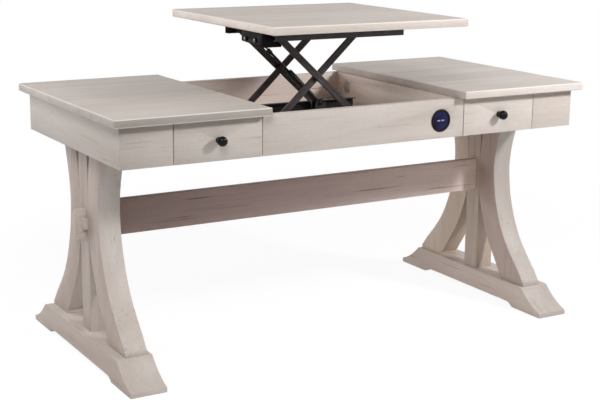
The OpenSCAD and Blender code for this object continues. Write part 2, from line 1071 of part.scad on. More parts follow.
module cross_channel() {
    side = [
        [channel_y0, channel_z],
        [channel_y1, channel_z + channel_taper],
        [channel_y1, channel_top_z],
        [channel_y0, channel_top_z],
    ];
    color(steel)
        difference() {
            along_x(channel_x0, channel_x1)
                polygon(side);
            box(
                [channel_x0 + sheet_t, channel_y0 + sheet_t, channel_z - 1],
                [channel_x1 - sheet_t, channel_y1 + 1, channel_top_z - sheet_t]
            );
            box(
                [channel_x1 - sheet_t - 1, strut_y - rod_d, channel_z - 1],
                [channel_x1 + 1, strut_y + rod_d, strut_top_z + rod_d / 2 + 5]
            );
            for (y = bolt_ys)
                rod_x(y, bolt_z, channel_x0 - 1, channel_x0 + sheet_t + 1, bolt_d / 2 + run_gap);
        }
}

// Bent seat bolted into the deep channel; its cheeks hold the strut's upper pin
module strut_seat() {
    x0 = channel_x0 + sheet_t;
    color(steel)
        difference() {
            union() {
                box([x0, strut_y - 76, bolt_z - 10], [x0 + 3, strut_y + 22, strut_top_z + 10]);
                for (y = [strut_y - cheek_gap - cheek_t, strut_y + cheek_gap])
                    box([x0, y, strut_top_z - 10], [pivot_x + 10, y + cheek_t, strut_top_z + 10]);
            }
            rod_y(pivot_x, strut_top_z, strut_y - 30, strut_y + 30, pin_d / 2 + run_gap);
            for (y = bolt_ys)
                rod_x(y, bolt_z, x0 - 1, x0 + 4, bolt_d / 2 + run_gap);
        }
}

module seat_bolts() {
    color(bright)
        for (y = bolt_ys) {
            rod_x(y, bolt_z, channel_x0 - tiny, channel_x0 + sheet_t + 3 + 7, bolt_d / 2);
            translate([channel_x0 - 5.3, y, bolt_z])
                rotate([0, 90, 0])
                    rotate(30)
                        cylinder(h = 5.3, r = bolt_af / sqrt(3), $fn = 6);
        }
}

module seat_nuts() {
    color(bright)
        for (y = bolt_ys)
            translate([channel_x0 + sheet_t + 3, y, bolt_z])
                rotate([0, 90, 0])
                    difference() {
                        cylinder(h = 5.5, r = bolt_af / sqrt(3), $fn = 6);
                        translate([0, 0, -1])
                            cylinder(h = 8, r = bolt_d / 2 + 0.1);
                    }
}

module strut_top_pin() {
    end = cheek_gap + cheek_t;
    color(bright) {
        rod_y(pivot_x, strut_top_z, strut_y - end - 1.5, strut_y + end + 1.5, pin_d / 2);
        rod_y(pivot_x, strut_top_z, strut_y - end - 3, strut_y - end, pin_d / 2 + 2.5);
        rod_y(pivot_x, strut_top_z, strut_y + end, strut_y + end + 3, pin_d / 2 + 2.5);
    }
}

// Draws its children with Z along the strut, from the lower eye towards the upper eye
module along_strut() {
    translate([strut_foot_x, strut_y, strut_foot_z])
        rotate([0, strut_tilt, 0])
            children();
}

// Rod with a socket screwed to it and a thin stem up to the eye
module strut_rod() {
    socket_z = strut_l - stem_l - socket_l;
    color(bright)
        along_strut()
            difference() {
                union() {
                    translate([0, 0, strut_l - rod_l])
                        cylinder(h = socket_z - strut_l + rod_l + tiny, r = rod_d / 2);
                    translate([0, 0, socket_z])
                        cylinder(h = socket_l, r = socket_d / 2);
                    translate([0, 0, socket_z])
                        cylinder(h = socket_l + stem_l, r = stem_d / 2);
                    rod_y(0, strut_l, -5, 5, rod_eye_r);
                }
                rod_y(0, strut_l, -6, 6, pin_d / 2 + run_gap);
            }
}

module strut_cylinder() {
    color(black)
        along_strut()
            difference() {
                union() {
                    translate([0, 0, foot_eye_r - 2])
                        cylinder(h = tube_l - foot_eye_r + 2, r = cylinder_d / 2);
                    rod_y(0, 0, -cheek_gap + 3, cheek_gap - 3, foot_eye_r);
                }
                rod_y(0, 0, -cheek_gap, cheek_gap, foot_pin_d / 2 + 0.1);
                translate([0, 0, bore_z])
                    cylinder(h = tube_l, r = rod_d / 2 + run_gap);
            }
}

module strut_foot_pin() {
    end = cheek_gap + 3 + run_gap;
    color(bright)
        along_strut() {
            rod_y(0, 0, -end - 2, end + 2, foot_pin_d / 2);
            for (y = [-end - 2, end])
                rod_y(0, 0, y, y + 2, foot_pin_d / 2 + 2);
            for (side = [-1, 1])
                rod_y(0, 0, side * (cheek_gap - 2) - 1, side * (cheek_gap - 2) + 1, foot_pin_d / 2 + 1.5);
        }
}

// Pieces to draw

left_top();
right_top();
front_apron();
back_apron();
left_end_apron();
right_end_apron();
left_front_block();
right_front_block();
left_inner_partition();
right_inner_partition();
outer_partitions();
compartment_floor();
floor_cleats();
drawer_runners();
top_cleats();
left_foot();
right_foot();
left_front_leg();
left_back_leg();
right_front_leg();
right_back_leg();
left_post();
right_post();
stretcher();
tusk_pegs();
charger_bezel();
charger_face();
charger_body();
charger_nut();
lift_base_rails();
lift_base_crossbars();
lift_base_screws();
strut_bracket();
inner_arms();
inner_pins();
top_rollers();
centre_pins();
outer_arms();
outer_pins();
base_rollers();
lift_panel();
top_rails();
top_plate();
cross_channel();
strut_seat();
seat_bolts();
seat_nuts();
strut_top_pin();
panel_screws();
strut_rod();
strut_cylinder();
strut_foot_pin();
left_drawer_front();
left_drawer_frame();
left_drawer_bottom();
left_drawer_knob();
right_drawer_front();
right_drawer_frame();
right_drawer_bottom();
right_drawer_knob();
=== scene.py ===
"""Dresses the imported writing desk: eased boards in washed maple, a black scissor lift, knobs and charger.

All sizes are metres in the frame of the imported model: +X right, -Y to the front, +Z up, floor at 0.
"""

import logging
import math
from dataclasses import dataclass
from enum import Enum
from typing import Optional, Sequence, Union

import bpy
from mathutils import Matrix, Vector

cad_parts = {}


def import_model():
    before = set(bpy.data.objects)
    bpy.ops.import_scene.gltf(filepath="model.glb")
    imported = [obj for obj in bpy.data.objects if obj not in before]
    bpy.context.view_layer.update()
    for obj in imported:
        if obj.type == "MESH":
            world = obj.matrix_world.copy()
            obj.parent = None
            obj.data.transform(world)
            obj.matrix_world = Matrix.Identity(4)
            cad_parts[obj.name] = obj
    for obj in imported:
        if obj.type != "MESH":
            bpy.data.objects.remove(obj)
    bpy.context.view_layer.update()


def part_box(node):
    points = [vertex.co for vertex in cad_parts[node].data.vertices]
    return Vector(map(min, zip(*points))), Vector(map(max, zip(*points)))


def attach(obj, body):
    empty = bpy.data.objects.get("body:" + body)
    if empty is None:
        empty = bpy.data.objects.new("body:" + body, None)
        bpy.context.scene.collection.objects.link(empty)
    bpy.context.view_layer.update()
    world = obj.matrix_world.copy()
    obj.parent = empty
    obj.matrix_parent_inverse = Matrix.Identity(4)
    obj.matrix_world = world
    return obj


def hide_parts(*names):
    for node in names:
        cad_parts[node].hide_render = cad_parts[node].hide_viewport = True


LOG = logging.getLogger("writing_desk")
MM = 0.001

Colour = tuple[float, float, float, float]
Socket = bpy.types.NodeSocket
Tree = bpy.types.NodeTree

# Sockets of the Mix node in its colour mode
MIX_SHARE, MIX_FIRST, MIX_SECOND, MIX_RESULT = 0, 6, 7, 2


class Axis(Enum):
    """Direction in which the grain of a board runs."""

    X = 0
    Y = 1
    Z = 2


class Body(str, Enum):
    """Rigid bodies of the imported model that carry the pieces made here."""

    DESK = "desk"
    INNER_ARMS = "inner_arms"
    OUTER_ARMS = "outer_arms"
    LIFT_TOP = "lift_top"
    STRUT_ROD = "strut_rod"
    STRUT_CYLINDER = "strut_cylinder"
    LEFT_DRAWER = "left_drawer"
    RIGHT_DRAWER = "right_drawer"


# Colours and nodes


def hex_colour(code: str) -> Colour:
    """Turns an sRGB hex colour into the linear colour that Blender's nodes take.

    Args:
        code: Six hex digits, with or without a leading mark.

    Returns:
        Red, green, blue and alpha, linear.
    """
    digits = code.lstrip("#")
    channels = [int(digits[i:i + 2], 16) / 255 for i in (0, 2, 4)]
    linear = [c / 12.92 if c <= 0.04045 else ((c + 0.055) / 1.055) ** 2.4 for c in channels]
    return (linear[0], linear[1], linear[2], 1.0)


def grey(value: float) -> Colour:
    """Linear grey of a value, 1 for white."""
    return (value, value, value, 1.0)


def add_node(tree: Tree, kind: str, values: Optional[dict] = None, links: Optional[dict] = None,
             **settings) -> bpy.types.Node:
    """Adds one node with its settings, socket values and incoming links.

    Args:
        tree: Node tree that gets the node.
        kind: Type name of the node, without the ShaderNode prefix.
        values: Socket name or number to the value set on it.
        links: Socket name or number to the output socket linked into it.
        settings: Attributes of the node itself.

    Returns:
        The new node.
    """
    made = tree.nodes.new("ShaderNode" + kind)
    for name, value in settings.items():
        setattr(made, name, value)
    for socket, value in (values or {}).items():
        made.inputs[socket].default_value = value
    for socket, source in (links or {}).items():
        tree.links.new(source, made.inputs[socket])
    return made


def add_ramp(tree: Tree, source: Socket, stops: Sequence[tuple[float, Colour]]) -> Socket:
    """Adds a colour ramp over a value.

    Args:
        tree: Node tree that gets the ramp.
        source: Output that drives it.
        stops: Places from 0 to 1, each with its linear colour.

    Returns:
        The ramp's colour output.
    """
    made = add_node(tree, "ValToRGB", links={"Fac": source})
    ramp = made.color_ramp
    while len(ramp.elements) < len(stops):
        ramp.elements.new(0.5)
    for element, (place, colour) in zip(ramp.elements, stops):
        element.position = place
        element.color = colour
    return made.outputs["Color"]


def add_noise(tree: Tree, place: Socket, scale: float, detail: float, roughness: float = 0.5,
              distortion: float = 0.0) -> Socket:
    """Adds a cloudy noise.

    Args:
        tree: Node tree that gets the noise.
        place: Coordinates of the noise.
        scale: Repeats in one unit of the coordinates.
        detail: Number of finer noises laid over the first.
        roughness: Strength of each finer noise against the one before.
        distortion: Strength of the swirls.

    Returns:
        The noise's value, about 0.5 at its middle.
    """
    values = {"Scale": scale, "Detail": detail, "Roughness": roughness, "Distortion": distortion}
    return add_node(tree, "TexNoise", values, {"Vector": place}).outputs["Fac"]


def remap(tree: Tree, source: Socket, low: float, high: float) -> Socket:
    """Stretches a value from 0 to 1 over another range.

    Args:
        tree: Node tree that gets the node.
        source: Output with the value.
        low: Result where the value is 0.
        high: Result where the value is 1.

    Returns:
        The stretched value.
    """
    return add_node(tree, "MapRange", {"To Min": low, "To Max": high}, {"Value": source}).outputs["Result"]


def mix_colours(tree: Tree, share: Union[float, Socket], first: Union[Colour, Socket],
                second: Union[Colour, Socket], blend: str = "MIX") -> Socket:
    """Mixes two colours.

    Args:
        tree: Node tree that gets the node.
        share: Share of the second colour.
        first: First colour.
        second: Second colour.
        blend: Blender's name for the way of mixing.

    Returns:
        The mixed colour.
    """
    values, links = {}, {}
    for socket, source in ((MIX_SHARE, share), (MIX_FIRST, first), (MIX_SECOND, second)):
        (links if isinstance(source, Socket) else values)[socket] = source
    made = add_node(tree, "Mix", values, links, data_type="RGBA", blend_type=blend)
    return made.outputs[MIX_RESULT]


def multiply_colours(tree: Tree, first: Socket, second: Socket) -> Socket:
    """Multiplies two colours, or a colour by a brightness."""
    return mix_colours(tree, 1.0, first, second, "MULTIPLY")


def absolute(tree: Tree, source: Socket) -> Socket:
    """Drops the sign of a value."""
    return add_node(tree, "Math", links={0: source}, operation="ABSOLUTE").outputs[0]


def object_place(tree: Tree) -> Socket:
    """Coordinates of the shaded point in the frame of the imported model."""
    return add_node(tree, "TexCoord").outputs["Object"]


def new_material(name: str) -> tuple[bpy.types.Material, Tree, bpy.types.Node]:
    """Starts a material that holds one Principled shader.

    Args:
        name: Name of the material.

    Returns:
        The material, its node tree and its shader.
    """
    material = bpy.data.materials.new(name)
    material.use_nodes = True
    tree = material.node_tree
    return material, tree, tree.nodes["Principled BSDF"]


# Meshes


def deselect_all() -> None:
    """Leaves edit mode and deselects every object."""
    if bpy.context.object is not None and bpy.context.object.mode != "OBJECT":
        bpy.ops.object.mode_set(mode="OBJECT")
    bpy.ops.object.select_all(action="DESELECT")


def make_active(piece: bpy.types.Object) -> None:
    """Makes a piece the only selected and the active object."""
    deselect_all()
    piece.select_set(True)
    bpy.context.view_layer.objects.active = piece


def apply_place(piece: bpy.types.Object) -> None:
    """Moves a piece's place, turn and scale into its mesh."""
    make_active(piece)
    bpy.ops.object.transform_apply(location=True, rotation=True, scale=True)


def apply_modifier(piece: bpy.types.Object, kind: str, **settings) -> None:
    """Adds a modifier to a piece and applies it.

    Args:
        piece: Mesh object that gets the modifier.
        kind: Blender's type name of the modifier.
        settings: Attributes of the modifier.
    """
    make_active(piece)
    modifier = piece.modifiers.new(kind.lower(), kind)
    for name, value in settings.items():
        setattr(modifier, name, value)
    bpy.ops.object.modifier_apply(modifier=modifier.name)


def round_edges(piece: bpy.types.Object, width: float, steps: int = 2, sharper_than: float = 50.0) -> None:
    """Rounds the sharp edges of a piece.

    Args:
        piece: Mesh object to change.
        width: Width of the rounding.
        steps: Faces across it.
        sharper_than: Angle in degrees from which an edge is rounded.
    """
    apply_modifier(piece, "BEVEL", width=width, segments=steps, limit_method="ANGLE",
                   angle_limit=math.radians(sharper_than), use_clamp_overlap=True)


def copy_of_node(node_name: str, piece_name: str) -> bpy.types.Object:
    """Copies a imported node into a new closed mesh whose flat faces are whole.

    Args:
        node_name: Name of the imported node.
        piece_name: Name of the copy.

    Returns:
        The copy, with no parent and no material.
    """
    source = bpy.data.objects[node_name]
    mesh = source.data.copy()
    piece = bpy.data.objects.new(piece_name, mesh)
    bpy.context.scene.collection.objects.link(piece)
    mesh.materials.clear()
    make_active(piece)
    bpy.ops.object.mode_set(mode="EDIT")
    bpy.ops.mesh.select_all(action="SELECT")
    bpy.ops.mesh.customdata_custom_splitnormals_clear()
    bpy.ops.mesh.remove_doubles(threshold=0.01 * MM)
    bpy.ops.mesh.dissolve_limited(angle_limit=math.radians(0.5))
    bpy.ops.object.mode_set(mode="OBJECT")
    return piece


def cut_slot(piece: bpy.types.Object, centre: Vector, size: Vector) -> None:
    """Cuts a square slot into a piece.

    Args:
        piece: Piece that gets the slot.
        centre: Middle of the cutter.
        size: Width, depth and height of the cutter.
    """
    deselect_all()
    bpy.ops.mesh.primitive_cube_add(size=1.0, location=centre)
    cutter = bpy.context.object
    cutter.scale = size
    apply_place(cutter)
    apply_modifier(piece, "BOOLEAN", operation="DIFFERENCE", object=cutter, solver="EXACT")
    mesh = cutter.data
    bpy.data.objects.remove(cutter)
    bpy.data.meshes.remove(mesh)


def hand_over(piece: bpy.types.Object, finish: bpy.types.Material, body: Body,
              nodes: Sequence[str] = (), smooth_under: float = 35.0) -> None:
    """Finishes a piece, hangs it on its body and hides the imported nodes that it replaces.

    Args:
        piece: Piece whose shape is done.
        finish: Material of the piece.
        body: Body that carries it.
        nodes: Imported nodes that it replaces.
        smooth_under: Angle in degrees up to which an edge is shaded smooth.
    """
    piece.data.materials.append(finish)
    make_active(piece)
    bpy.ops.object.shade_smooth_by_angle(angle=math.radians(smooth_under))
    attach(piece, body.value)
    if nodes:
        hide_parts(*nodes)
    LOG.info("%s rides %s, %d faces", piece.name, body.value, len(piece.data.polygons))


# Finishes


@dataclass(frozen=True)
class PaintedLightStop:
    """Brightness and tint at one stop of a ramp that paints light and shade onto the wood.

    Attributes:
        place: Place on the ramp, from 0 to 1.
        tone: Brightness there.
        green: Green as a part of the red; under 1 the colour turns warmer.
        blue: Blue as a part of the red.
    """

    place: float
    tone: float
    green: float = 1.0
    blue: float = 1.0

    def stop(self) -> tuple[float, Colour]:
        """Gives the place and the colour of the stop."""
        return self.place, (self.tone, self.green * self.tone, self.blue * self.tone, 1.0)


@dataclass(frozen=True)
class WashedMaple:
    """Brown maple under a thin grey-white wash: pale, with soft darker streaks that follow the grain.

    Attributes:
        name: Name of the material.
        grain: Direction of the grain.
        seed: Shifts the figure so that no two boards repeat.
        pale: Colour of the washed early wood.
        warm: Colour where the wash lies thin.
        streak: Colour of the mineral streaks.
        strip: Width of the strips glued side by side in Y, or 0 for a single board.
        figure: Strength of the streaks, from 0 to 1.
        rough: Mean roughness of the lacquer.
        painted_front_shading: Brightness painted on the faces towards front and back, for the light and shade
            that falls on them.
        painted_end_shading: Brightness painted on the faces towards left and right, for the light and shade
            that falls on them.
        painted_end_shade_tint: Share of brown pink painted on those faces, for the warm tint of their shade.
        painted_edge_highlight: Share of pale colour painted on the eased edges of a top as a highlight.
        along: Stops of painted light and shade, laid from the desk's left end to its right end.
        half_desk: Half of the width over which these stops are laid.
        edge_highlight_colour: Colour of the painted edge highlight.
    """

    name: str
    grain: Axis
    seed: int = 0
    pale: str = "#d3cac3"
    warm: str = "#c8bcb3"
    streak: str = "#8b776e"
    strip: float = 0.0
    figure: float = 0.5
    rough: float = 0.52
    # These values paint light and shade onto the wood: brightness by the way a face turns, a warm tint of
    # shade, an edge highlight and shade along the desk
    painted_front_shading: float = 1.0
    painted_end_shading: float = 1.0
    painted_end_shade_tint: float = 0.0
    painted_edge_highlight: float = 0.0
    along: tuple[PaintedLightStop, ...] = ()
    half_desk: float = 0.8
    edge_highlight_colour: str = "#f1eeea"

    def build(self) -> bpy.types.Material:
        """Builds the node tree. The satin lacquer over the wash gives a soft, broad shine.

        Returns:
            The material.
        """
        material, tree, shader = new_material(self.name)
        place = object_place(tree)
        strip_tone = None
        if self.strip > 0:
            place, strip_tone = self.glued_strips(tree, place)
        board = self.board_place(tree, place)
        # Growth rings cut at a slant: soft bands 15 to 30 mm wide
        rings = self.grain_noise(tree, board, (0.9, 30.0), 3.0, 0.55, 0.5)
        # Fine lines of the grain, drawn 2 mm apart because the real ones are too fine to show
        lines = self.grain_noise(tree, board, (9.0, 420.0), 3.0, 0.7)
        colour = self.figured_colour(tree, board, rings, lines)
        if strip_tone is not None:
            colour = multiply_colours(tree, colour, remap(tree, strip_tone, 0.95, 1.02))
        # Painted light and shade on the upright faces, and a painted highlight on the eased edges
        colour = self.painted_face_shading(tree, colour)
        # Painted shade that changes along the desk's width
        if self.along:
            colour = self.painted_shade_along_desk(tree, colour)
        tree.links.new(colour, shader.inputs["Base Color"])
        # The bands take the lacquer unevenly, so the shine wavers along the board
        tree.links.new(remap(tree, rings, self.rough - 0.06, self.rough + 0.10), shader.inputs["Roughness"])
        relief = add_node(tree, "Bump", {"Strength": 0.22, "Distance": 0.25 * MM}, {"Height": lines})
        tree.links.new(relief.outputs["Normal"], shader.inputs["Normal"])
        shader.inputs["IOR"].default_value = 1.5
        return material

    def glued_strips(self, tree: Tree, place: Socket) -> tuple[Socket, Socket]:
        """Gives each glued strip of a top its own part of the figure.

        Args:
            tree: Node tree of the material.
            place: Coordinates of the shaded point.

        Returns:
            The coordinates, which jump from strip to strip, and a random value for each strip.
        """
        axes = add_node(tree, "SeparateXYZ", links={0: place})
        # Number of the strip, with the joints between strips moved by the seed
        ratio = add_node(tree, "Math", {1: self.strip}, {0: axes.outputs["Y"]}, operation="DIVIDE")
        shifted = add_node(tree, "Math", {1: self.seed * 0.31}, {0: ratio.outputs[0]}, operation="ADD")
        number = add_node(tree, "Math", links={0: shifted.outputs[0]}, operation="FLOOR")
        chance = add_node(tree, "TexWhiteNoise", links={"W": number.outputs[0]}, noise_dimensions="1D")
        # Each strip jumps by up to 3 m to another part of the figure
        jump = add_node(tree, "VectorMath", {1: (3.0, 3.0, 3.0)}, {0: chance.outputs["Color"]},
                        operation="MULTIPLY")
        moved = add_node(tree, "VectorMath", links={0: place, 1: jump.outputs[0]}, operation="ADD")
        return moved.outputs[0], chance.outputs["Value"]

    def board_place(self, tree: Tree, place: Socket) -> Socket:
        """Turns the coordinates so that their X runs with the grain, and shifts them by the seed."""
        # The three steps share no period, so the boards' figures fall far apart
        shift = (self.seed * 1.37 % 5, self.seed * 2.11 % 7, self.seed * 0.73 % 3)
        turn = {
            Axis.X: (0.0, 0.0, 0.0),
            Axis.Y: (0.0, 0.0, math.radians(90)),
            Axis.Z: (0.0, math.radians(90), 0.0),
        }[self.grain]
        turned = add_node(tree, "Mapping", {"Location": shift, "Rotation": turn}, {"Vector": place})
        return turned.outputs["Vector"]

    @staticmethod
    def grain_noise(tree: Tree, board: Socket, repeats: tuple[float, float], detail: float,
                    roughness: float = 0.5, distortion: float = 0.0) -> Socket:
        """Adds a noise that is stretched along the grain.

        Args:
            tree: Node tree of the material.
            board: Coordinates with X along the grain.
            repeats: Repeats in a metre along the grain and across it.
            detail: Number of finer noises laid over the first.
            roughness: Strength of each finer noise.
            distortion: Strength of the swirls.

        Returns:
            The noise's value.
        """
        along, over = repeats
        stretched = add_node(tree, "Mapping", {"Scale": (along, over, over)}, {"Vector": board})
        return add_noise(tree, stretched.outputs["Vector"], 1.0, detail, roughness, distortion)

    def figured_colour(self, tree: Tree, board: Socket, rings: Socket, lines: Socket) -> Socket:
        """Lays the wash and the figure of the wood over each other.

        Args:
            tree: Node tree of the material.
            board: Coordinates with X along the grain.
            rings: Value of the growth rings.
            lines: Value of the fine lines.

        Returns:
            The colour of the board.
        """
        pale, warm, streak = (hex_colour(code) for code in (self.pale, self.warm, self.streak))
        # Clouds of thin wash, about 250 mm long
        cloud = self.grain_noise(tree, board, (1.6, 9.0), 3.0)
        colour = add_ramp(tree, cloud, [(0.34, warm), (0.62, pale)])
        # Bands of the rings, in which the wash lies thin
        bands = add_ramp(tree, rings, [(0.38, grey(0.0)), (0.56, grey(0.7 * self.figure)),
                                       (0.70, grey(0.15))])
        colour = mix_colours(tree, bands, colour, warm)
        # Mineral streaks, long, thin and rare
        mineral = self.grain_noise(tree, board, (1.0, 34.0), 4.0, 0.6, 0.5)
        streaks = add_ramp(tree, mineral, [(0.62, grey(0.0)), (0.80, grey(0.9 * self.figure))])
        colour = mix_colours(tree, streaks, colour, streak)
        # Thin dark lines, 1 to 3 mm wide and up to 200 mm long
        scratch = self.grain_noise(tree, board, (3.5, 130.0), 2.0, 0.5, 0.2)
        scratches = add_ramp(tree, scratch, [(0.66, grey(0.0)), (0.74, grey(0.9 * self.figure))])
        colour = mix_colours(tree, scratches, colour, streak)
        # The fine lines darken the board a little
        shade = add_ramp(tree, lines, [(0.3, grey(0.93)), (0.6, grey(1.0))])
        colour = multiply_colours(tree, colour, shade)
        # Short flecks of the pores
        flecks = self.grain_noise(tree, board, (60.0, 900.0), 1.0)
        shade = add_ramp(tree, flecks, [(0.32, grey(0.88)), (0.42, grey(1.0))])
        return multiply_colours(tree, colour, shade)

    def painted_face_shading(self, tree: Tree, colour: Socket) -> Socket:
        """Paints light and shade on a board's upright faces by the way they face, and a highlight on its
        eased edges.

        Args:
            tree: Node tree of the material.
            colour: Colour of the board.

        Returns:
            The colour with the painted light, shade and highlight.
        """
        facing = add_node(tree, "SeparateXYZ", links={0: add_node(tree, "TexCoord").outputs["Normal"]})
        sideways = absolute(tree, facing.outputs["X"])
        upwards = absolute(tree, facing.outputs["Z"])
        # Painted light and shade: brighter or darker by the way a face turns, with a warm tint of shade on
        # the ends
        if (self.painted_front_shading, self.painted_end_shading, self.painted_end_shade_tint) != (1.0, 1.0, 0.0):
            end = PaintedLightStop(0.7, self.painted_end_shading, 1.0 - self.painted_end_shade_tint, 1.0 - 1.3 * self.painted_end_shade_tint)
            upright = add_ramp(tree, sideways, [(0.5, grey(self.painted_front_shading)), end.stop()])
            flat = add_ramp(tree, upwards, [(0.8, grey(0.0)), (0.97, grey(1.0))])
            colour = multiply_colours(tree, colour, mix_colours(tree, flat, upright, grey(1.0)))
        # Painted highlight: pale colour on the eased edges of a top, where light catches them
        if self.painted_edge_highlight > 0:
            eased = add_ramp(tree, upwards, [(0.15, grey(0.0)), (0.35, grey(self.painted_edge_highlight)),
                                             (0.85, grey(self.painted_edge_highlight)), (0.97, grey(0.0))])
            colour = mix_colours(tree, eased, colour, hex_colour(self.edge_highlight_colour))
        return colour

    def painted_shade_along_desk(self, tree: Tree, colour: Socket) -> Socket:
        """Varies the wash along the desk's width.

        Args:
            tree: Node tree of the material.
            colour: Colour of the board.

        Returns:
            The colour with the painted light and shade of its stops.
        """
        spot = add_node(tree, "SeparateXYZ", links={0: object_place(tree)})
        share = add_node(tree, "MapRange", {"From Min": -self.half_desk, "From Max": self.half_desk},
                         {"Value": spot.outputs["X"]})
        tone = add_ramp(tree, share.outputs["Result"], [stop.stop() for stop in self.along])
        return multiply_colours(tree, colour, tone)


@dataclass(frozen=True)
class PowderCoat:
    """Powder coat or lacquer on steel, or moulded plastic: one dark colour with a fine orange-peel skin.

    Attributes:
        name: Name of the material.
        colour: Colour of the coat.
        worn: Colour of the faint rub marks.
        rough: Mean roughness.
        grit: Size of the skin's bumps.
        relief: Strength of the bumps.
        shine: Strength of the mirror part, 0.5 for plain lacquer.
    """

    name: str
    colour: str
    worn: str
    rough: float
    grit: float = 1.2 * MM
    relief: float = 0.15
    shine: float = 0.5

    def build(self) -> bpy.types.Material:
        """Builds the node tree. The skin breaks up the highlight; rubbed places are a little greyer.

        Returns:
            The material.
        """
        material, tree, shader = new_material(self.name)
        place = object_place(tree)
        rubbed = add_noise(tree, place, 22.0, 5.0, 0.65)
        colour = add_ramp(tree, rubbed, [(0.45, hex_colour(self.colour)), (0.72, hex_colour(self.worn))])
        tree.links.new(colour, shader.inputs["Base Color"])
        tree.links.new(remap(tree, rubbed, self.rough - 0.08, self.rough + 0.12), shader.inputs["Roughness"])
        skin = add_noise(tree, place, 1 / self.grit, 2.0)
        bump = add_node(tree, "Bump", {"Strength": self.relief, "Distance": 0.1 * MM}, {"Height": skin})
        tree.links.new(bump.outputs["Normal"], shader.inputs["Normal"])
        shader.inputs["Specular IOR Level"].default_value = self.shine
        return material


@dataclass(frozen=True)
class PlatedSteel:
    """Turned and plated steel: grey metal with fine turning marks.

    Attributes:
        name: Name of the material.
        colour: Colour of the metal.
        deep: Colour in the turning marks.
        rough: Mean roughness.
        marks: Distance of the turning marks.
    """

    name: str
    colour: str = "#b4b3b4"
    deep: str = "#9d9c9e"
    rough: float = 0.3
    marks: float = 1.5 * MM

    def build(self) -> bpy.types.Material:
        """Builds the node tree. The marks spread the highlight across the turning.

        Returns:
            The material.
        """
        material, tree, shader = new_material(self.name)
        drawn = add_node(tree, "Mapping", {"Scale": (0.2, 1.0, 1.0)}, {"Vector": object_place(tree)})
        turning = add_noise(tree, drawn.outputs["Vector"], 1 / self.marks, 3.0)
        tint = add_ramp(tree, turning, [(0.3, hex_colour(self.deep)), (0.7, hex_colour(self.colour))])
        tree.links.new(tint, shader.inputs["Base Color"])
        tree.links.new(remap(tree, turning, self.rough - 0.08, self.rough + 0.14), shader.inputs["Roughness"])
        shader.inputs["Metallic"].default_value = 1.0
        return material


@dataclass(frozen=True)
class GlossFace:
    """Dark blue acrylic face of the charger: deep colour under a clear, polished skin.

    Attributes:
        name: Name of the material.
        deep: Colour of most of the face.
        light: Colour of the faint clouds in it.
        rough: Roughness of the acrylic.
        shine: Strength of its mirror part.
        coat: Strength of the polished skin.
        coat_rough: Roughness of the skin.
    """

    name: str
    deep: str = "#151337"
    light: str = "#23214f"
    rough: float = 0.16
    shine: float = 0.12
    coat: float = 0.06
    coat_rough: float = 0.05

    def build(self) -> bpy.types.Material:
        """Builds the node tree. A polished coat lies over the clouded colour.

        Returns:
            The material.
        """
        material, tree, shader = new_material(self.name)
        cloud = add_noise(tree, object_place(tree), 70.0, 2.0)
        colour = add_ramp(tree, cloud, [(0.35, hex_colour(self.deep)), (0.75, hex_colour(self.light))])
        tree.links.new(colour, shader.inputs["Base Color"])
        shader.inputs["Roughness"].default_value = self.rough
        shader.inputs["Specular IOR Level"].default_value = self.shine
        shader.inputs["Coat Weight"].default_value = self.coat
        shader.inputs["Coat Roughness"].default_value = self.coat_rough
        return material


# Sub-assemblies


@dataclass(frozen=True)
class Board:
    """Board of the desk.

    Attributes:
        node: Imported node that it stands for.
        maple: Its own piece of maple.
        body: Body that carries it.
    """

    node: str
    maple: WashedMaple
    body: Body = Body.DESK


